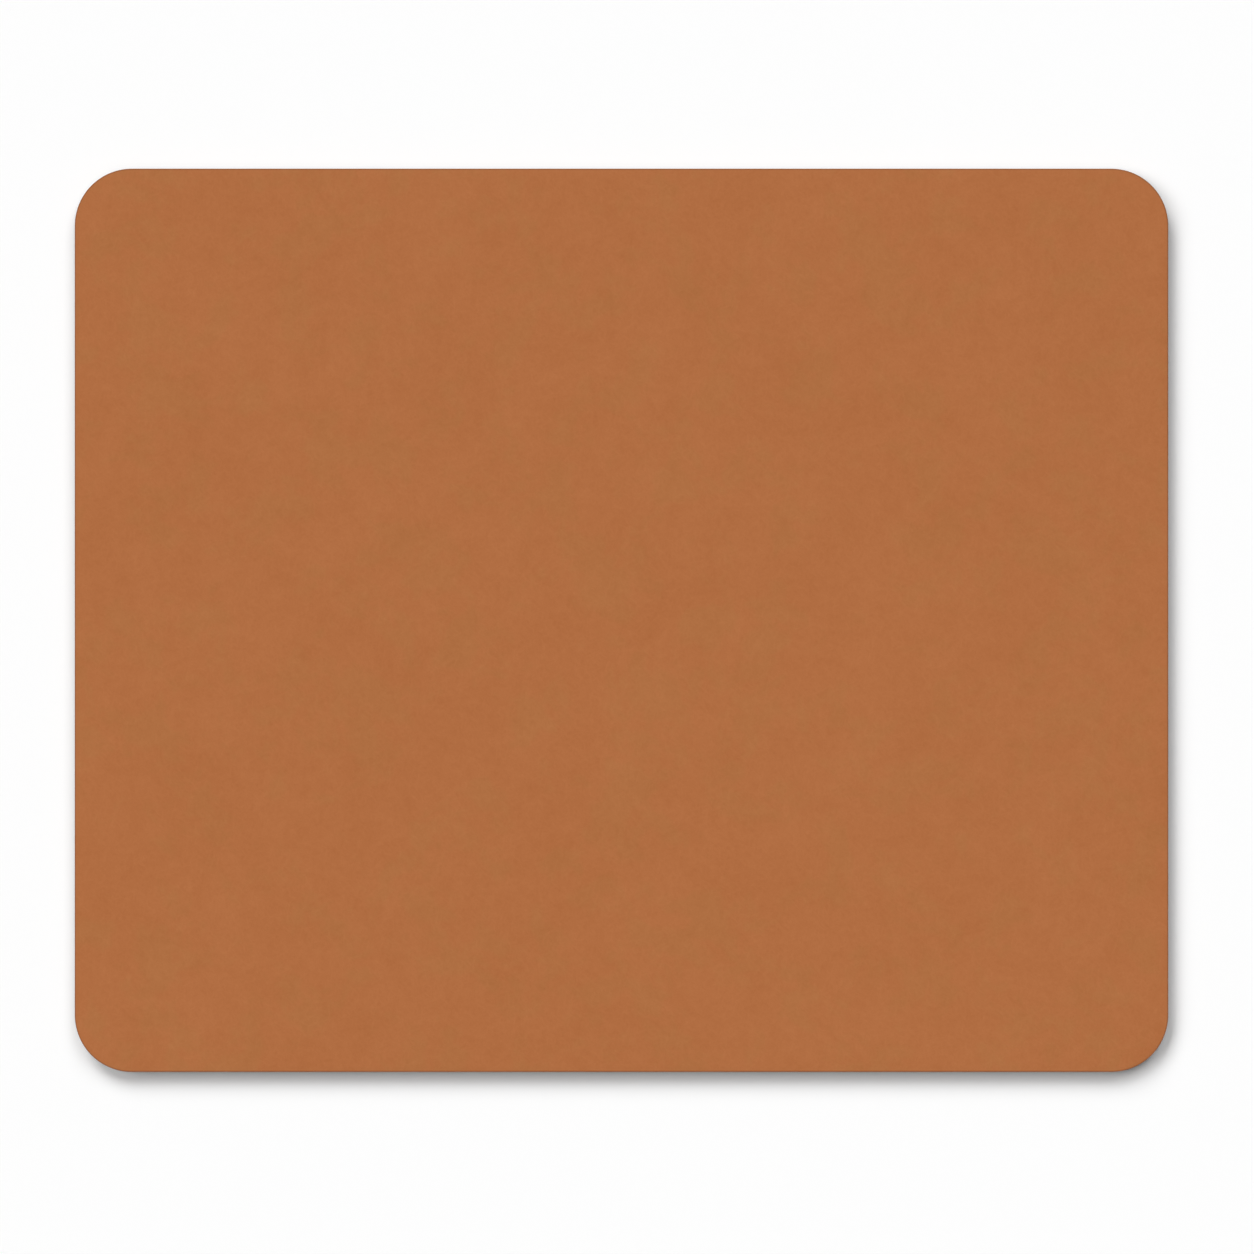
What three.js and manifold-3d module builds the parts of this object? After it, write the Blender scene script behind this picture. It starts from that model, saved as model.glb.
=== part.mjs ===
// A mouse pad: a tan leather face on a woven backing, bonded through glue films to a foam core and an
// anti-slip rubber base. The whole stack is die-cut to one rounded rectangle. Millimetres, +Z up; the
// origin is the middle of the underside, +X runs along the long side and -Y faces the user.

import * as THREE from "three";
import { mergeVertices } from "three/addons/utils/BufferGeometryUtils.js";
import Module from "manifold-3d";

// Outline of the die
const PAD_LENGTH = 230;
const PAD_WIDTH = 190;
const CORNER_RADIUS = 12;
const CORNER_STEPS = 9; // half of the straight steps in one corner arc

// Thickness of each sheet, from the desk up
const BASE_THICKNESS = 0.6;
const GLUE_THICKNESS = 0.1;
const FOAM_THICKNESS = 1.0;
const BACKING_THICKNESS = 0.3;
const LEATHER_THICKNESS = 0.85;
const BOND_GAP = 0.01; // left between bonded faces, so that two sheets never share volume

// Cut edges
const GLUE_SETBACK = 0.5; // the films stop short of the cut, so that no glue squeezes out
const BACKING_SETBACK = 0.08; // the cut threads draw back a little
const FOAM_DISH = 0.2; // how far the middle of the foam's edge draws in under the die
const FOAM_DISH_LAND = 0.1; // height of the straight stretch at the bottom of that dish
const LEATHER_EDGE_RADIUS = 0.3; // rounding of the leather's upper edge
const LEATHER_EDGE_STEPS = 4;

// Finishes
const RUBBER = { color: 0x1f1f20, roughness: 0.9, metalness: 0 };
const GLUE = { color: 0xb99a63, roughness: 0.4, metalness: 0 };
const FOAM = { color: 0x2b2b2c, roughness: 0.95, metalness: 0 };
const CLOTH = { color: 0x9a7b58, roughness: 0.95, metalness: 0 };
const LEATHER = { color: 0xb06e43, roughness: 0.55, metalness: 0 };

const wasm = await Module();
wasm.setup();

// A closed geometry as a solid that can be cut.
function solidOf(geometry) {
  const bare = geometry.clone();
  bare.deleteAttribute("normal");
  bare.deleteAttribute("uv");
  const merged = mergeVertices(bare);
  const mesh = new wasm.Mesh({
    numProp: 3,
    vertProperties: merged.attributes.position.array,
    triVerts: new Uint32Array(merged.index.array),
  });
  return new wasm.Manifold(mesh);
}

// The surface of a solid as a geometry.
function geometryOf(solid) {
  const mesh = solid.getMesh();
  const geometry = new THREE.BufferGeometry();
  geometry.setAttribute("position", new THREE.BufferAttribute(mesh.vertProperties, 3));
  geometry.setIndex(new THREE.BufferAttribute(mesh.triVerts, 1));
  geometry.computeVertexNormals();
  return geometry;
}

// The die's rounded rectangle, drawn in all round by a setback.
function padOutline(setback = 0) {
  const x = PAD_LENGTH / 2 - setback;
  const y = PAD_WIDTH / 2 - setback;
  const r = CORNER_RADIUS - setback;
  const quarter = Math.PI / 2;
  const outline = new THREE.Shape();
  outline.absarc(x - r, y - r, r, 0, quarter);
  outline.absarc(r - x, y - r, r, quarter, 2 * quarter);
  outline.absarc(r - x, r - y, r, 2 * quarter, 3 * quarter);
  outline.absarc(x - r, r - y, r, 3 * quarter, 4 * quarter);
  outline.closePath();
  return outline;
}

// A flat sheet with square edges, standing on z = 0.
function plainSheet(thickness, setback = 0) {
  return new THREE.ExtrudeGeometry(padOutline(setback), {
    depth: thickness,
    bevelEnabled: false,
    curveSegments: CORNER_STEPS,
  });
}

// The leather: rounded at the upper edge and cut square below. A thicker sheet is rounded at both faces,
// and what reaches below z = 0 is cut away.
function leatherSheet() {
  const radius = Math.min(LEATHER_EDGE_RADIUS, LEATHER_THICKNESS);
  const rounded = new THREE.ExtrudeGeometry(padOutline(), {
    depth: LEATHER_THICKNESS,
    bevelThickness: radius,
    bevelSize: radius,
    bevelOffset: -radius,
    bevelSegments: LEATHER_EDGE_STEPS,
    curveSegments: CORNER_STEPS,
  });
  rounded.translate(0, 0, -radius);
  const above = new THREE.BoxGeometry(2 * PAD_LENGTH, 2 * PAD_WIDTH, 2 * LEATHER_THICKNESS);
  above.translate(0, 0, LEATHER_THICKNESS);
  return geometryOf(solidOf(rounded).intersect(solidOf(above)));
}

// The foam: its cut edge slopes in from both faces to a narrow land at mid height.
function foamSheet() {
  const slope = (FOAM_THICKNESS - FOAM_DISH_LAND) / 2;
  const sheet = new THREE.ExtrudeGeometry(padOutline(), {
    depth: FOAM_DISH_LAND,
    bevelThickness: slope,
    bevelSize: -FOAM_DISH,
    bevelSegments: 1,
    curveSegments: CORNER_STEPS,
  });
  sheet.translate(0, 0, slope);
  return sheet;
}

const mousePad = new THREE.Group();
let level = 0;

// Lays the next sheet of the stack on the one below it.
function lay(name, geometry, thickness, finish) {
  const mesh = new THREE.Mesh(geometry, new THREE.MeshStandardMaterial(finish));
  mesh.name = name;
  mesh.position.z = level;
  mousePad.add(mesh);
  level += thickness + BOND_GAP;
}

lay("rubber_base", plainSheet(BASE_THICKNESS), BASE_THICKNESS, RUBBER);
lay("lower_glue_film", plainSheet(GLUE_THICKNESS, GLUE_SETBACK), GLUE_THICKNESS, GLUE);
lay("foam_core", foamSheet(), FOAM_THICKNESS, FOAM);
lay("upper_glue_film", plainSheet(GLUE_THICKNESS, GLUE_SETBACK), GLUE_THICKNESS, GLUE);
lay("fabric_backing", plainSheet(BACKING_THICKNESS, BACKING_SETBACK), BACKING_THICKNESS, CLOTH);
lay("leather_top", leatherSheet(), LEATHER_THICKNESS, LEATHER);

export default mousePad;
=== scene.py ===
"""Looks of the mouse pad: tan leather face, woven backing, glue films, foam core and rubber grip base."""

import math
from typing import NamedTuple

import bmesh
import bpy
import numpy as np
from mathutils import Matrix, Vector, noise


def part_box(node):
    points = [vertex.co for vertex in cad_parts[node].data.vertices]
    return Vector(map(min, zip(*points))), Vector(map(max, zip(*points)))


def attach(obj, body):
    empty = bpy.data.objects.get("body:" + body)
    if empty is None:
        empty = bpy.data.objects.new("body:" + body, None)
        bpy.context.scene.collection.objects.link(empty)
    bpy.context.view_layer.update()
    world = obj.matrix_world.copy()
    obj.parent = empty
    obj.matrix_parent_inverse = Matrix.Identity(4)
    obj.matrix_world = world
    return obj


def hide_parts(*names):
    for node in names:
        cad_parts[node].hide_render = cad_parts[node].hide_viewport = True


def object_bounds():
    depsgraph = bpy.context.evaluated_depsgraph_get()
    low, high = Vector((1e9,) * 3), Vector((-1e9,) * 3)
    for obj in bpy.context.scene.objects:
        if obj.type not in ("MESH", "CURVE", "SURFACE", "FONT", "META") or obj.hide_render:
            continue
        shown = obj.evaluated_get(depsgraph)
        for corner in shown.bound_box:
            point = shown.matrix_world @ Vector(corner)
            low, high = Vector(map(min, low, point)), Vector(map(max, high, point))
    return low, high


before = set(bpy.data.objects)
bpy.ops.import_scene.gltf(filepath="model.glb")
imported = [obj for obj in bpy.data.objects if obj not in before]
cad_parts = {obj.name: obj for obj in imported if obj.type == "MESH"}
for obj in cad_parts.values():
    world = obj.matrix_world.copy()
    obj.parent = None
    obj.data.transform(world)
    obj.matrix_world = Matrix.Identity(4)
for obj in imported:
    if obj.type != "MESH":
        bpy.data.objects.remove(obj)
cad_box = [list(corner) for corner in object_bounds()]

MM = 0.001
RANDOM = np.random.default_rng(7)


def corner_radius(node):
    """Radius of a sheet's corners: how far its straight long side stops short of its end."""
    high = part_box(node)[1]
    on_side = 0.01 * MM
    side = [v.co.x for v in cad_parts[node].data.vertices if high.y - v.co.y < on_side]
    return high.x - max(side)


# The die's outline, from the frame
HALF_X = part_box("rubber_base")[1].x
HALF_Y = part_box("rubber_base")[1].y
RADIUS = corner_radius("rubber_base")

# Cells of the flat faces along each side, counted between the middles of two corners
CELLS_X = 75
CELLS_Y = 62

# Two faces meet in a sharp edge from this angle on
SHARP_DEG = 40

# Linear brightness of the floor and of the background
PALE = 0.987


# Outline and sheets


def side_of_outline(half_run, half_depth, count):
    """One side of the outline as if it lay at the bottom, from the middle of one corner up to the next:
    its points and their outward normals."""
    arc = RADIUS * math.pi / 4
    straight = 2 * (half_run - RADIUS)
    along = np.arange(count) / count * (straight + 2 * arc)
    flat = np.clip(along - arc, 0, straight)
    angle = (along - arc - flat) / RADIUS
    normals = np.stack([np.sin(angle), -np.cos(angle)], axis=1)
    centres = np.stack([flat - straight / 2, np.full(count, RADIUS - half_depth)], axis=1)
    return centres + RADIUS * normals, normals


def quarter_turns(flat, count):
    """Flat points turned anticlockwise about the middle by a number of quarter turns."""
    for _ in range(count):
        flat = np.stack([-flat[:, 1], flat[:, 0]], axis=1)
    return flat


def outline(splits):
    """Points of the die's outline, anticlockwise, splits to each cell, and their outward normals."""
    points, normals = [], []
    for quarter in range(4):
        across = quarter % 2
        half_run, half_depth = (HALF_Y, HALF_X) if across else (HALF_X, HALF_Y)
        cells = CELLS_Y if across else CELLS_X
        side, outward = side_of_outline(half_run, half_depth, cells * splits)
        points.append(quarter_turns(side, quarter))
        normals.append(quarter_turns(outward, quarter))
    return np.concatenate(points), np.concatenate(normals)


def four_sides(loop):
    """A ring's lower, right, upper and left side, each from left to right or from bottom to top."""
    ends = np.cumsum([CELLS_X, CELLS_Y, CELLS_X])
    closed = np.concatenate([loop, loop[:1]])
    low, right, high, left = (closed[a : b + 1] for a, b in zip([0, *ends], [*ends, len(loop)]))
    return low, right, high[::-1], left[::-1]


class Shell:
    """One closed sheet while it is put together: its faces and their material slots, and its points.
    A point keeps its setback from the cut edge and its turn, the share of the way round at which it is."""

    def __init__(self, splits):
        self.splits = splits
        self.line, self.outward = outline(splits)
        self.points, self.setbacks, self.turns = [], [], []
        self.faces, self.slots = [], []

    def add(self, points, setbacks, turns=0.0):
        """Adds points and returns their numbers."""
        first = len(self.points)
        self.points.extend(tuple(p) for p in points)
        self.setbacks.extend(np.broadcast_to(setbacks, len(points)))
        self.turns.extend(np.broadcast_to(turns, len(points)))
        return np.arange(first, len(self.points))

    def ring(self, setback, height, step=1):
        """A ring round the sheet, drawn in by setback, which may vary round it; step leaves points out.
        height is a number, or a function of the ring's points."""
        setback = np.broadcast_to(setback, len(self.line))[::step]
        flat = self.line[::step] - self.outward[::step] * setback[:, None]
        heights = height(flat) if callable(height) else np.full(len(flat), height)
        turns = np.arange(len(self.line))[::step] / len(self.line)
        return self.add(np.column_stack([flat, heights]), setback, turns)

    def face(self, *corners, slot=0):
        """Adds a face by the numbers of its corners, anticlockwise as seen from outside."""
        self.faces.append(tuple(int(c) for c in corners))
        self.slots.append(slot)

    def follow(self, ring, setback, height, slot=0):
        """Adds the next ring on the way from the top over the edge to the underside, joined to the last."""
        following = self.ring(setback, height)
        for a, b, c, d in zip(ring, following, np.roll(following, -1), np.roll(ring, -1)):
            self.face(a, b, c, d, slot=slot)
        return following

    def halve(self, fine, coarse, up, slot=0):
        """Joins a ring to one inside it that has half as many points."""
        for i, inner in enumerate(coarse):
            after = coarse[(i + 1) % len(coarse)]
            a, b, c = (fine[(2 * i + k) % len(fine)] for k in range(3))
            for corners in ((inner, a, b), (inner, b, after), (after, b, c)):
                self.face(*(corners if up else corners[::-1]), slot=slot)

    def close(self, loop, up, slot=0, height=None):
        """Fills a ring with a grid of quads, whose height may be a function of its points."""
        low, right, high, left = four_sides(np.array([self.points[i] for i in loop]))
        u = np.linspace(0, 1, CELLS_X + 1)[None, :, None]
        v = np.linspace(0, 1, CELLS_Y + 1)[:, None, None]
        grid = (1 - v) * low[None] + v * high[None] + (1 - u) * left[:, None] + u * right[:, None]
        grid -= (1 - v) * ((1 - u) * low[0] + u * low[-1]) + v * ((1 - u) * high[0] + u * high[-1])
        inner = grid[1:-1, 1:-1].reshape(-1, 3)
        if height is not None:
            inner[:, 2] = height(inner[:, :2])
        names = np.empty(grid.shape[:2], int)
        names[0], names[:, -1], names[-1], names[:, 0] = four_sides(loop)
        names[1:-1, 1:-1] = self.add(inner, RADIUS).reshape(CELLS_Y - 1, CELLS_X - 1)
        for j in range(CELLS_Y):
            for i in range(CELLS_X):
                corners = (names[j, i], names[j, i + 1], names[j + 1, i + 1], names[j + 1, i])
                self.face(*(corners if up else corners[::-1]), slot=slot)

    def cap(self, ring, up, height, inset, slot=0):
        """Closes a flat face from a ring near its edge, with rings inside that halve the points each time."""
        step = 1
        while step < self.splits:
            step *= 2
            inset *= 2
            inner = self.ring(inset, height, step)
            self.halve(ring, inner, up, slot)
            ring = inner
        self.close(ring, up, slot)

    def object(self, name, *materials):
        """The finished piece, whose points keep their turn and, in millimetres, their setback."""
        mesh = bpy.data.meshes.new(name)
        mesh.from_pydata(self.points, [], self.faces)
        for label, values in (("edge_mm", np.array(self.setbacks) / MM), ("turn", np.array(self.turns))):
            kept = mesh.attributes.new(label, "FLOAT", "POINT")
            kept.data.foreach_set("value", values.astype(np.float32))
        for material in materials:
            mesh.materials.append(material)
        mesh.polygons.foreach_set("material_index", self.slots)
        mesh.polygons.foreach_set("use_smooth", [True] * len(self.faces))
        mesh.set_sharp_from_angle(angle=math.radians(SHARP_DEG))
        piece = bpy.data.objects.new(name, mesh)
        bpy.context.scene.collection.objects.link(piece)
        return piece


# Maps for baking


class Box(NamedTuple):
    """A box of the square that a surface is baked to."""

    left: float
    bottom: float
    right: float
    top: float

    def fill(self, across, up):
        """Places in the box, from shares of its width and of its height."""
        x = self.left + (self.right - self.left) * across
        y = self.bottom + (self.top - self.bottom) * up
        return np.column_stack([x, y])


# For a sheet with one outer face, which takes most of the square
OUTER_FACE = Box(0.01, 0.01, 0.99, 0.87)
OTHER_FACE = Box(0.01, 0.885, 0.13, 0.99)
OUTER_EDGE = Box(0.15, 0.885, 0.99, 0.99)
OUTER_ROWS = 8

# For a sheet inside the stack, of which only the edge shows
INNER_UPPER = Box(0.01, 0.01, 0.49, 0.43)
INNER_UNDER = Box(0.51, 0.01, 0.99, 0.43)
INNER_EDGE = Box(0.01, 0.45, 0.99, 0.99)
INNER_ROWS = 16

# A face lies flat, and isn't part of the edge, where its normal's height is at least this
OUTER_FLAT = 0.5
INNER_FLAT = 0.95


def mesh_values(items, name, kind=np.float32, width=1):
    """One property of all of a mesh's points, corners or faces."""
    values = np.empty((len(items), width), kind)
    items.foreach_get(name, values.ravel())
    return values if width > 1 else values[:, 0]


def lay_out(piece, upper, under, edge, rows, flat_from):
    """Maps a sheet's surface for baking. Its upper face, its underside and its cut edge each fill a box,
    and the edge lies there in rows, one above the other."""
    mesh = piece.data
    names = mesh_values(mesh.loops, "vertex_index", np.int32)
    starts = mesh_values(mesh.polygons, "loop_start", np.int32)
    counts = mesh_values(mesh.polygons, "loop_total", np.int32)
    facing = np.repeat(mesh_values(mesh.polygons, "normal", width=3)[:, 2], counts)
    x, y, z = mesh_values(mesh.vertices, "co", width=3)[names].T
    turn = mesh_values(mesh.attributes["turn"].data, "value")[names]

    # A face across the start of the outline has its later corners a whole turn on
    half_turn = 0.5
    spans = np.maximum.reduceat(turn, starts) - np.minimum.reduceat(turn, starts)
    turn = turn + ((np.repeat(spans, counts) > half_turn) & (turn < half_turn))
    row = np.repeat(np.floor(np.add.reduceat(turn, starts) / counts * rows), counts)

    margin = 0.1
    rise = margin + (1 - 2 * margin) * (z - z.min()) / np.ptp(z)
    across, along = x / (2 * HALF_X) + 0.5, y / (2 * HALF_Y) + 0.5
    places = [
        upper.fill(across, along),
        under.fill(1 - across, along),
        edge.fill(turn * rows - row, (row + rise) / rows),
    ]
    part = np.select([facing >= flat_from, facing <= -flat_from], [0, 1], 2)
    uv = np.choose(part[:, None], places).astype(np.float32)
    mesh.uv_layers.new(name="OFBake").data.foreach_set("uv", uv.ravel())


# Materials


def srgb(red, green, blue):
    """A colour given by its 8-bit picture values."""
    values = (c / 255 for c in (red, green, blue))
    return tuple(((v + 0.055) / 1.055) ** 2.4 if v > 0.04045 else v / 12.92 for v in values) + (1.0,)


class Finish:
    """A node material with a Principled surface, and short ways to add nodes to it."""

    def __init__(self, name, **sockets):
        self.material = bpy.data.materials.new(name)
        self.material.use_nodes = True
        self.tree = self.material.node_tree
        self.surface = self.tree.nodes["Principled BSDF"]
        for socket, value in sockets.items():
            self.surface.inputs[socket.replace("_", " ")].default_value = value
        place = self.add("ShaderNodeTexCoord").outputs["Object"]
        mapping = self.add("ShaderNodeMapping", {"Vector": place, "Scale": (1 / MM,) * 3})
        self.place = mapping.outputs["Vector"]

    def add(self, kind, inputs=None, **settings):
        """Adds a node. Each input is a socket to link or a value to set."""
        node = self.tree.nodes.new(kind)
        for name, value in settings.items():
            setattr(node, name, value)
        for name, value in (inputs or {}).items():
            if isinstance(value, bpy.types.NodeSocket):
                self.tree.links.new(value, node.inputs[name])
            else:
                node.inputs[name].default_value = value
        return node

    def set(self, socket, value):
        """Links a node's result to the surface."""
        self.tree.links.new(value, self.surface.inputs[socket])

    def math(self, operation, *values):
        inputs = dict(enumerate(values))
        return self.add("ShaderNodeMath", inputs, operation=operation).outputs[0]

    def noise(self, size, detail=2.0, roughness=0.5, place=None):
        """Cloudy noise from 0 to 1 whose largest patches are about size millimetres across."""
        inputs = {"Vector": place or self.place, "Scale": 1 / size}
        inputs |= {"Detail": detail, "Roughness": roughness}
        return self.add("ShaderNodeTexNoise", inputs).outputs["Fac"]

    def cells(self, size, feature, place=None):
        """Distance in cells about size millimetres across, to their middles or to their edges."""
        inputs = {"Vector": place or self.place, "Scale": 1 / size}
        return self.add("ShaderNodeTexVoronoi", inputs, feature=feature).outputs["Distance"]

    def wander(self, size, reach):
        """The place moved about by up to reach millimetres, in patches about size across."""
        drift = self.add("ShaderNodeTexNoise", {"Vector": self.place, "Scale": 1 / size}).outputs["Color"]
        inputs = {0: drift, 1: (reach,) * 3, 2: self.place}
        return self.add("ShaderNodeVectorMath", inputs, operation="MULTIPLY_ADD").outputs[0]

    def strokes(self, place, turn_deg, along, across):
        """Noise drawn out into strokes about along by across millimetres, which lie turned by turn_deg."""
        inputs = {"Vector": place, "Scale": (along, across, 1.0)}
        inputs["Rotation"] = (0, 0, math.radians(turn_deg))
        drawn = self.add("ShaderNodeMapping", inputs, vector_type="TEXTURE").outputs["Vector"]
        return self.noise(size=1, detail=0, place=drawn)

    def spread(self, value, low, high, to_low=0.0, to_high=1.0, smooth=False):
        """Maps low..high to to_low..to_high and holds the ends."""
        inputs = {"Value": value, "From Min": low, "From Max": high, "To Min": to_low, "To Max": to_high}
        kind = "SMOOTHSTEP" if smooth else "LINEAR"
        return self.add("ShaderNodeMapRange", inputs, interpolation_type=kind).outputs["Result"]

    def blend(self, share, first, second):
        """Two colours mixed. The mix node's colour sockets go by number, as others have the same names."""
        first_colour, second_colour, mixed_colour = 6, 7, 2
        inputs = {"Factor": share, first_colour: first, second_colour: second}
        return self.add("ShaderNodeMix", inputs, data_type="RGBA").outputs[mixed_colour]

    def tone(self, colour, value):
        """The colour made lighter or darker by a factor near 1."""
        return self.add("ShaderNodeHueSaturation", {"Color": colour, "Value": value}).outputs["Color"]

    def relief(self, height_mm):
        """Bump from a height in millimetres."""
        bump = self.add("ShaderNodeBump", {"Height": height_mm, "Distance": MM})
        self.set("Normal", bump.outputs["Normal"])


def leather_finish():
    """Smooth matte tan leather: soft clouding, a short nap, a fine pebble grain and a darker cut line."""
    f = Finish("tan_leather", Specular_IOR_Level=0.08)
    tan, olive, cut_line = (174.7, 107.55, 63.55), (172.5, 108.95, 63.85), (145, 89, 53)
    slow = f.noise(size=35, detail=2)
    mottle = f.noise(size=9, detail=5, roughness=0.95, place=f.wander(size=20, reach=12))
    patches = f.noise(size=11, detail=4, roughness=0.65, place=f.wander(size=16, reach=9))
    pebbles = f.cells(size=0.8, feature="DISTANCE_TO_EDGE", place=f.wander(size=1.6, reach=0.9))
    crease = f.spread(pebbles, 0.0, 0.22, smooth=True)
    curved = f.wander(size=2.4, reach=1.6)
    nap = f.strokes(curved, 20, along=2.0, across=0.5)
    for turn_deg in (80, 140):
        nap = f.math("MAXIMUM", nap, f.strokes(curved, turn_deg, along=2.0, across=0.5))

    # Lighter by the same step in each channel, so a light place is paler and a dark one richer
    step = f.spread(slow, 0.2, 0.8, -1.2, 1.2)
    step = f.math("ADD", step, f.spread(mottle, 0.2, 0.8, -5.2, 5.2))
    step = f.math("ADD", step, f.spread(nap, 0.4, 0.8, -1.5, 1.5))
    step = f.math("ADD", step, f.spread(crease, 0.0, 1.0, -0.6, 0.0))
    furthest = 8
    share = f.spread(step, -furthest, furthest)

    def clouded(tone):
        dark, light = (srgb(*(channel + shift for channel in tone)) for shift in (-furthest, furthest))
        return f.blend(share, dark, light)

    colour = f.blend(f.spread(patches, 0.48, 0.62, smooth=True), clouded(tan), clouded(olive))
    edge = f.add("ShaderNodeAttribute", attribute_name="edge_mm").outputs["Fac"]
    f.set("Base Color", f.blend(f.spread(edge, 0.34, 0.14, smooth=True), colour, srgb(*cut_line)))
    f.set("Roughness", f.spread(f.math("ADD", mottle, nap), 0.7, 1.5, 0.68, 0.82))
    crease_mm, nap_mm = 0.004, 0.01
    f.relief(f.math("MULTIPLY_ADD", crease, crease_mm, f.math("MULTIPLY", nap, nap_mm)))
    return f.material


def cut_leather_finish():
    """The leather's cut side: darker, fibrous and a little polished."""
    f = Finish("cut_leather", Specular_IOR_Level=0.3)
    fibres = f.noise(size=0.25, detail=3, roughness=0.65)
    patches = f.noise(size=3, detail=2)
    colour = f.blend(f.spread(fibres, 0.3, 0.7), srgb(112, 66, 38), srgb(150, 92, 55))
    f.set("Base Color", f.tone(colour, f.spread(patches, 0.3, 0.7, 0.93, 1.05)))
    f.set("Roughness", f.spread(fibres, 0.3, 0.7, 0.55, 0.75))
    fibre_mm = 0.03
    f.relief(f.math("MULTIPLY", fibres, fibre_mm))
    return f.material


def cloth_finish():
    """Plain-woven backing: threads crossing over and under."""
    f = Finish("backing_cloth", Roughness=0.95, Specular_IOR_Level=0.15)
    axes = f.add("ShaderNodeSeparateXYZ", {"Vector": f.place})
    repeat_mm = 0.75
    turn = 2 * math.pi / repeat_mm
    warp = f.math("SINE", f.math("MULTIPLY", axes.outputs["X"], turn))
    weft = f.math("SINE", f.math("MULTIPLY", axes.outputs["Y"], turn))
    weave = f.math("MULTIPLY", warp, weft)
    fuzz = f.noise(size=0.2, detail=2)
    weave_tint = 0.12
    tint = f.math("MULTIPLY_ADD", weave, weave_tint, fuzz)
    f.set("Base Color", f.blend(f.spread(tint, 0.3, 0.75), srgb(116, 92, 66), srgb(166, 138, 103)))
    weave_mm, fuzz_mm = 0.03, 0.03
    f.relief(f.math("MULTIPLY_ADD", weave, weave_mm, f.math("MULTIPLY", fuzz, fuzz_mm)))
    return f.material


def glue_finish():
    """An amber film with a few paler streaks."""
    f = Finish("glue", Specular_IOR_Level=0.5)
    streaks = f.noise(size=2.5, detail=3)
    f.set("Base Color", f.blend(streaks, srgb(160, 126, 78), srgb(205, 178, 128)))
    f.set("Roughness", f.spread(streaks, 0.3, 0.7, 0.3, 0.5))
    return f.material


def foam_finish():
    """Charcoal closed-cell foam: matte, with painted shade making the pits of the cells that the cut laid
    open nearly black, and finer cells between.
    """
    f = Finish("foam", Specular_IOR_Level=0.2)
    pit_and_shade = f.add("ShaderNodeAttribute", attribute_name="pit_and_shade").outputs["Fac"]
    # Painted shade: the middles of the fine cells, which the bump sets lower, are darker than their walls
    wall_and_shade = f.spread(f.cells(size=0.22, feature="F1"), 0.15, 0.6, smooth=True)
    cloud = f.noise(size=2, detail=3)
    colour = f.blend(wall_and_shade, srgb(34, 34, 35), srgb(62, 62, 63))
    # Painted shade: the pits of the cells that the cut laid open are darkened nearly to black
    colour = f.blend(f.spread(pit_and_shade, 0.1, 0.9), colour, srgb(18, 18, 19))
    f.set("Base Color", f.tone(colour, f.spread(cloud, 0.3, 0.7, 0.85, 1.15)))
    f.set("Roughness", f.spread(cloud, 0.3, 0.7, 0.88, 0.98))
    wall_mm = 0.03
    f.relief(f.math("MULTIPLY", wall_and_shade, wall_mm))
    return f.material


def rubber_finish():
    """Black moulded rubber: matte, with a faint grey bloom and a fine skin."""
    f = Finish("base_rubber", Specular_IOR_Level=0.3)
    bloom = f.noise(size=9, detail=4, roughness=0.6)
    skin = f.noise(size=0.35, detail=3)
    f.set("Base Color", f.blend(f.spread(bloom, 0.35, 0.75), srgb(27, 27, 28), srgb(42, 42, 43)))
    f.set("Roughness", f.spread(skin, 0.3, 0.7, 0.7, 0.86))
    skin_mm = 0.012
    f.relief(f.math("MULTIPLY", skin, skin_mm))
    return f.material


def floor_finish():
    """Plain pale paper."""
    colour = (PALE, PALE, PALE, 1.0)
    return Finish("floor", Base_Color=colour, Roughness=1.0, Specular_IOR_Level=0.0).material


# Pieces


def smooth_noise(points, size, seed):
    """Soft noise from about -1 to 1 at points, with patches about size across."""
    return np.array([noise.noise((x / size, y / size, seed)) for x, y in points])


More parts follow.
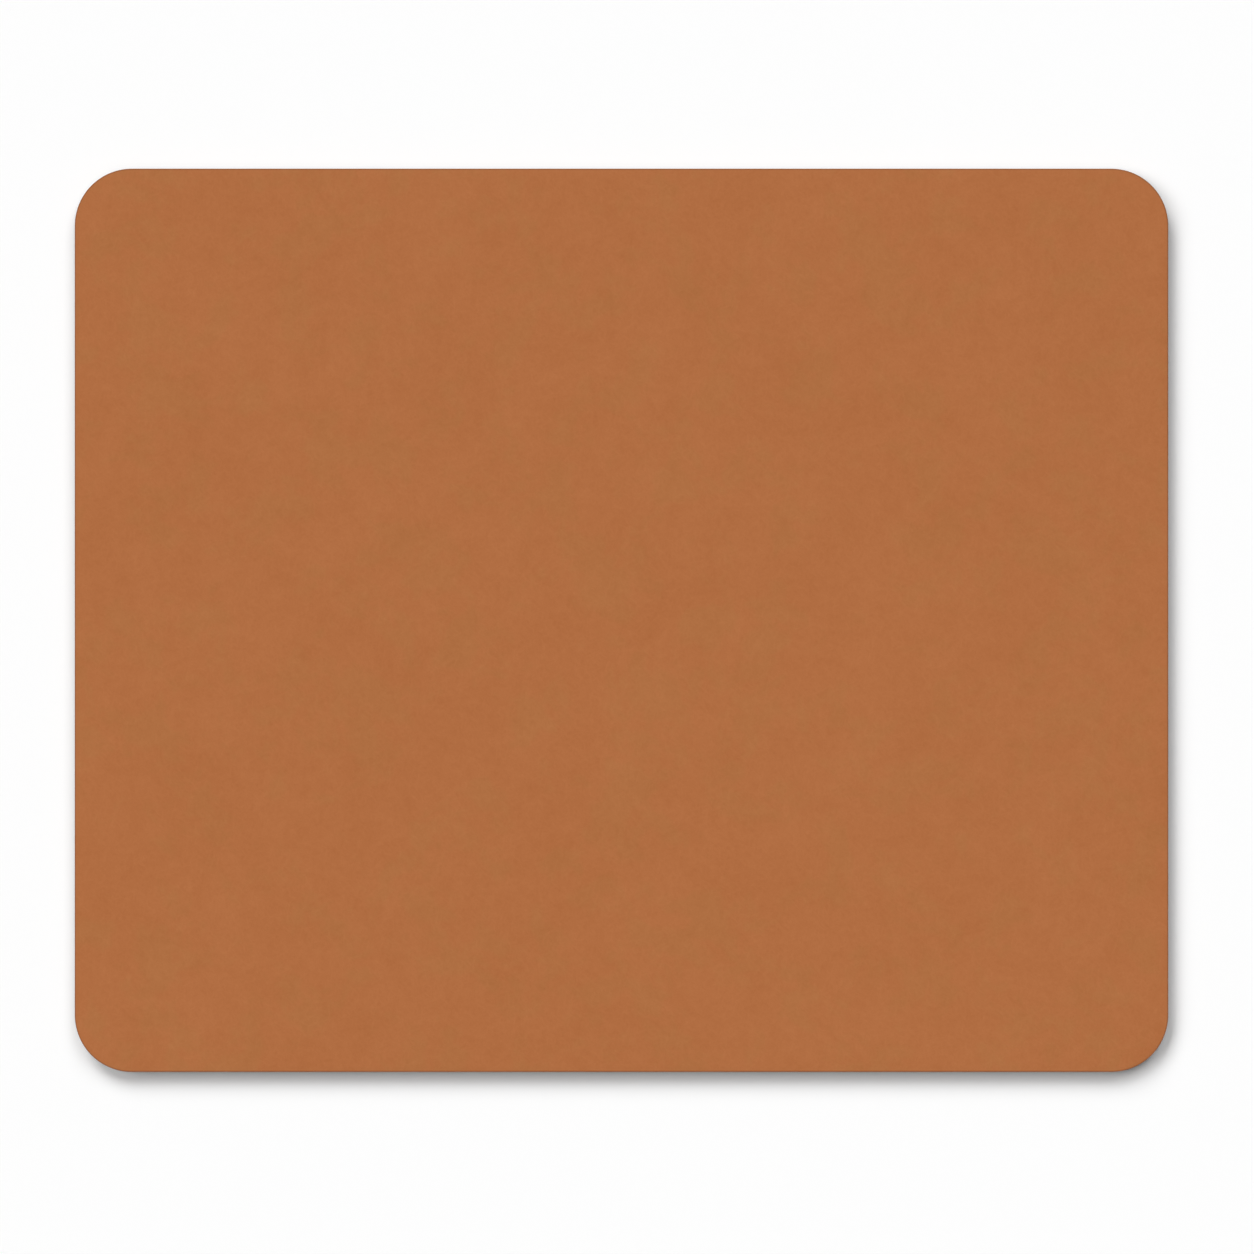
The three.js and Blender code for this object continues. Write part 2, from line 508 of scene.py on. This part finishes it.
def leather_piece():
    """The face: nearly flat, easing down to a rounded edge where the die pressed it, then the cut side."""
    low, high = (corner.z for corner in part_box("leather_top"))
    ease, ease_reach = 0.03 * MM, 0.8 * MM
    sway, sway_size, sway_seed = 0.03 * MM, 30 * MM, 0.3
    round_in, round_down, round_steps = 0.04 * MM, 0.16 * MM, 7
    rough_depth, foot_in, cap_inset = 0.015 * MM, 0.06 * MM, 0.6 * MM
    cut_slot = 1
    shell = Shell(splits=4)

    def face(setback):
        """Height of the face: a slight unevenness, and the dip towards the edge."""
        dip = ease * math.exp((round_in - setback) / ease_reach)
        return lambda spots: high - dip - sway * (1 - smooth_noise(spots, sway_size, sway_seed)) / 2

    # The face, with more points towards the edge
    coarse, finer, finest = 8 * MM, 6 * MM, 4.4 * MM
    inner = shell.ring(coarse, face(coarse), shell.splits)
    shell.close(inner, True, height=face(coarse))
    middle = shell.ring(finer, face(finer), shell.splits // 2)
    shell.halve(middle, inner, True)
    ring = shell.ring(finest, face(finest))
    shell.halve(ring, middle, True)
    for setback_mm in (3.2, 2.4, 1.8, 1.3, 0.9, 0.6, 0.4, 0.25, 0.15, 0.08, 0.04):
        ring = shell.follow(ring, setback_mm * MM, face(setback_mm * MM))

    # The rounding
    shoulder = high - ease - sway / 2
    for step in range(1, round_steps + 1):
        angle = step / round_steps * math.pi / 2
        inward, drop = round_in * (1 - math.sin(angle)), round_down * (1 - math.cos(angle))
        ring = shell.follow(ring, inward, shoulder - drop)

    # The rough cut side, which turns in at its foot, and the underside
    rough = rough_depth * (1 + RANDOM.standard_normal(len(shell.line)).clip(-2, 2) / 2)
    for above, share in ((0.2 * MM, 1.0), (0.04 * MM, 0.6)):
        ring = shell.follow(ring, rough * share, low + above, cut_slot)
    under = shell.follow(ring, foot_in, low, cut_slot)
    shell.cap(under, False, low, cap_inset, cut_slot)
    piece = shell.object("tan_leather_face", leather_finish(), cut_leather_finish())
    lay_out(piece, OUTER_FACE, OTHER_FACE, OUTER_EDGE, OUTER_ROWS, OUTER_FLAT)
    return piece


def cloth_piece():
    """The backing cloth, with the ends of its cut threads round the edge."""
    low, high = (corner.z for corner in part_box("fabric_backing"))
    back, thread_depth, cap_inset = 0.1 * MM, 0.12 * MM, 0.3 * MM
    points_per_thread, phase = 4, 0.4
    shell = Shell(splits=16)
    thread = np.abs(np.sin(np.arange(len(shell.line)) * math.pi / points_per_thread + phase))
    top = shell.ring(back + thread_depth, high)
    shell.cap(top, True, high, cap_inset)
    ring = top
    for share, bulge in ((0.85, 0.6), (0.5, 1.0), (0.15, 0.6)):
        ring = shell.follow(ring, back + thread_depth * (1 - bulge * thread), low + share * (high - low))
    under = shell.follow(ring, back + thread_depth, low)
    shell.cap(under, False, low, cap_inset)
    piece = shell.object("woven_backing", cloth_finish())
    lay_out(piece, INNER_UPPER, INNER_UNDER, INNER_EDGE, INNER_ROWS, INNER_FLAT)
    return piece


def glue_piece(node, name, seed):
    """A glue film whose edge wanders a little inside the cut."""
    low, high = (corner.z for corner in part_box(node))
    wander, wander_size = 0.15 * MM, 4 * MM
    bulge, cap_inset = 0.05 * MM, 1.2 * MM
    shell = Shell(splits=4)
    back = HALF_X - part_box(node)[1].x + wander * (1 + smooth_noise(shell.line, wander_size, seed))
    top = shell.ring(back + bulge, high)
    shell.cap(top, True, high, cap_inset)
    middle = shell.follow(top, back, (low + high) / 2)
    under = shell.follow(middle, back + bulge, low)
    shell.cap(under, False, low, cap_inset)
    return shell.object(name, glue_finish())


def opened_cells(spots, size):
    """How far each spot lies inside a cell that the cut laid open, from 0 to 1, with cells about size apart;
    it sets how deep the pit is and how dark its painted shade.
    """
    nearest = np.array([noise.voronoi(Vector(spot) / size)[0][0] for spot in spots])
    rim, slope = 0.5, 3
    return np.clip(slope * (rim - nearest), 0, 1)


def foam_piece():
    """The foam sheet: its cut edge is dished, and pitted by the cells that the die cut open. How far a point
    lies in a pit is kept for the painted shade there.
    """
    low, high = (corner.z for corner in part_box("foam_core"))
    dish, pit, cell = 0.2 * MM, 0.1 * MM, 0.5 * MM
    lip, cap_inset = 0.02 * MM, 0.3 * MM
    rows = 9
    shell = Shell(splits=16)
    ring = shell.ring(lip, high)
    shell.cap(ring, True, high, cap_inset)
    marks = []
    for row in range(1, rows):
        share = row / rows
        drawn = dish * (1 - (2 * share - 1) ** 2)
        height = high - share * (high - low)
        spots = np.column_stack([shell.line - drawn * shell.outward, np.full(len(shell.line), height)])
        pit_and_shade = opened_cells(spots, cell)
        ring = shell.follow(ring, drawn + pit * pit_and_shade, height)
        marks.append((ring, pit_and_shade))
    under = shell.follow(ring, lip, low)
    shell.cap(under, False, low, cap_inset)
    piece = shell.object("foam_sheet", foam_finish())
    # Kept for the painted shade in the pits
    values = np.zeros(len(shell.points), np.float32)
    for names, pit_and_shade in marks:
        values[names] = pit_and_shade
    piece.data.attributes.new("pit_and_shade", "FLOAT", "POINT").data.foreach_set("value", values)
    lay_out(piece, INNER_UPPER, INNER_UNDER, INNER_EDGE, INNER_ROWS, INNER_FLAT)
    return piece


def inside_outline(x, y, margin):
    """Whether a point lies inside the die's outline drawn in by margin."""
    over_x = max(abs(x) - HALF_X + RADIUS, 0)
    over_y = max(abs(y) - HALF_Y + RADIUS, 0)
    reach_x = HALF_X - margin - abs(x)
    reach_y = HALF_Y - margin - abs(y)
    return reach_x > 0 and reach_y > 0 and math.hypot(over_x, over_y) < RADIUS - margin


def add_waffle(shell, level):
    """A field of square dimples, which stand on their corners, moulded up into a face that looks down."""
    pitch, land, draft, depth, margin = 2.6 * MM, 0.7 * MM, 0.2 * MM, 0.25 * MM, 1.2 * MM
    mouth_share = 1 - land / pitch
    floor_share = mouth_share - 2 * draft / pitch
    corners = {}

    def spot(i, j):
        return np.array([(i - j) * pitch / math.sqrt(2), (i + j) * pitch / math.sqrt(2), level])

    def corner(i, j):
        if (i, j) not in corners:
            corners[i, j] = int(shell.add([spot(i, j)], RADIUS)[0])
        return corners[i, j]

    reach = math.ceil(math.hypot(HALF_X, HALF_Y) / pitch)
    for i in range(-reach, reach):
        for j in range(-reach, reach):
            names = [(i, j), (i + 1, j), (i + 1, j + 1), (i, j + 1)]
            spots = np.array([spot(*n) for n in names])
            if not all(inside_outline(x, y, margin) for x, y, _ in spots):
                continue
            outer = [corner(*n) for n in names]
            middle = spots.mean(axis=0)
            mouth = shell.add(middle + (spots - middle) * mouth_share, RADIUS)
            floor = shell.add(middle + (spots - middle) * floor_share + (0, 0, depth), RADIUS)
            for k in range(4):
                n = (k + 1) % 4
                shell.face(outer[k], mouth[k], mouth[n], outer[n])
                shell.face(mouth[k], floor[k], floor[n], mouth[n])
            shell.face(*floor[::-1])


def fill_gap(mesh):
    """Closes the gap between the rim of a face that looks down and the field inside it."""
    work = bmesh.new()
    work.from_mesh(mesh)
    gap = [e for e in work.edges if e.is_boundary]
    made = bmesh.ops.triangle_fill(work, use_beauty=True, use_dissolve=False, edges=gap, normal=(0, 0, -1))
    for item in made["geom"]:
        if isinstance(item, bmesh.types.BMFace):
            item.smooth = True
    bmesh.ops.recalc_face_normals(work, faces=work.faces)
    work.to_mesh(mesh)
    work.free()


def rubber_piece():
    """The base: a rubber sheet with a diamond waffle of shallow dimples moulded into its underside."""
    low, high = (corner.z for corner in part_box("rubber_base"))
    upper_bevel, lower_bevel, cap_inset = 0.03 * MM, 0.06 * MM, 1.0 * MM
    shell = Shell(splits=4)
    ring = shell.ring(upper_bevel, high)
    shell.cap(ring, True, high, cap_inset)
    ring = shell.follow(ring, 0.0, high - upper_bevel)
    ring = shell.follow(ring, 0.0, low + lower_bevel)
    shell.follow(ring, lower_bevel, low)
    add_waffle(shell, low)
    piece = shell.object("grip_rubber", rubber_finish())
    fill_gap(piece.data)
    lay_out(piece, OTHER_FACE, OUTER_FACE, OUTER_EDGE, OUTER_ROWS, OUTER_FLAT)
    return piece


def stage_floor():
    """A plain pale floor just under the pad."""
    half, clearance = 7.0, 0.01 * MM
    level = cad_box[0][2] - clearance
    corners = [(-half, -half, level), (half, -half, level), (half, half, level), (-half, half, level)]
    mesh = bpy.data.meshes.new("floor")
    mesh.from_pydata(corners, [], [(0, 1, 2, 3)])
    mesh.materials.append(floor_finish())
    floor = bpy.data.objects.new("floor", mesh)
    bpy.context.scene.collection.objects.link(floor)


# Light and camera


def soft_lamp(name, toward, spread_deg, share):
    """A wide, distant lamp in the direction toward, which gives a share of the light on the floor."""
    lamp = bpy.data.lights.new(name, "SUN")
    lamp.angle = math.radians(spread_deg)
    lamp.energy = share * math.pi / Vector(toward).normalized().z
    holder = bpy.data.objects.new(name, lamp)
    holder.rotation_mode = "QUATERNION"
    holder.rotation_quaternion = Vector(toward).to_track_quat("Z", "Y")
    bpy.context.scene.collection.objects.link(holder)


def surround(light):
    """An even world that lights weakly, and looks pale to the camera, in reflections and through glass."""
    world = bpy.data.worlds.new("surround")
    world.use_nodes = True
    tree = world.node_tree
    rays = tree.nodes.new("ShaderNodeLightPath")
    seen = rays.outputs["Is Camera Ray"]
    for other in ("Is Glossy Ray", "Is Transmission Ray"):
        either = tree.nodes.new("ShaderNodeMath")
        either.operation = "MAXIMUM"
        tree.links.new(seen, either.inputs[0])
        tree.links.new(rays.outputs[other], either.inputs[1])
        seen = either.outputs[0]
    strength = tree.nodes.new("ShaderNodeMapRange")
    strength.inputs["To Min"].default_value = light
    strength.inputs["To Max"].default_value = PALE
    tree.links.new(seen, strength.inputs["Value"])
    background = tree.nodes["Background"]
    background.inputs["Color"].default_value = (1, 1, 1, 1)
    tree.links.new(strength.outputs["Result"], background.inputs["Strength"])
    bpy.context.scene.world = world


def studio():
    """Soft lamps on the left and behind, a wide weaker one overhead and an even pale surround.
    Together they light the floor at the level where a colour renders as it is written."""
    soft_lamp("left_lamp", (-1.053, 0.217, 1.0), spread_deg=36.9, share=0.257)
    soft_lamp("back_left_lamp", (-0.67, 1.294, 1.0), spread_deg=29.2, share=0.334)
    soft_lamp("back_right_lamp", (0.459, 0.975, 1.0), spread_deg=36.3, share=0.225)
    soft_lamp("overhead_lamp", (0.0, -0.135, 1.0), spread_deg=54.1, share=0.124)
    surround(light=0.06)
    bpy.context.scene.view_settings.view_transform = "Standard"


def photo_camera():
    """Straight down on the pad. Pixels are those of the photograph."""
    frame_px, pad_px = 1254, 1093.35
    pad_middle_px = (621.52, 620.33)
    widest_drop = 0.25 * MM  # the outline is at its widest by this far below the top
    metres_per_px = 2 * HALF_X / pad_px
    camera = bpy.data.cameras.new("camera")
    camera.lens = 135
    distance = frame_px * metres_per_px * camera.lens / camera.sensor_width
    holder = bpy.data.objects.new("camera", camera)
    holder.location = (
        (frame_px / 2 - pad_middle_px[0]) * metres_per_px,
        (pad_middle_px[1] - frame_px / 2) * metres_per_px,
        cad_box[1][2] - widest_drop + distance,
    )
    bpy.context.scene.collection.objects.link(holder)
    bpy.context.scene.camera = holder


def place_piece(piece, node):
    """Puts a piece on the one body in place of its CAD node."""
    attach(piece, "root")
    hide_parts(node)


photo_camera()
studio()
stage_floor()

leather = leather_piece()
cloth = cloth_piece()
upper_glue = glue_piece("upper_glue_film", "upper_glue_layer", seed=2.7)
foam = foam_piece()
lower_glue = glue_piece("lower_glue_film", "lower_glue_layer", seed=8.1)
rubber = rubber_piece()

place_piece(leather, "leather_top")
place_piece(cloth, "fabric_backing")
place_piece(upper_glue, "upper_glue_film")
place_piece(foam, "foam_core")
place_piece(lower_glue, "lower_glue_film")
place_piece(rubber, "rubber_base")
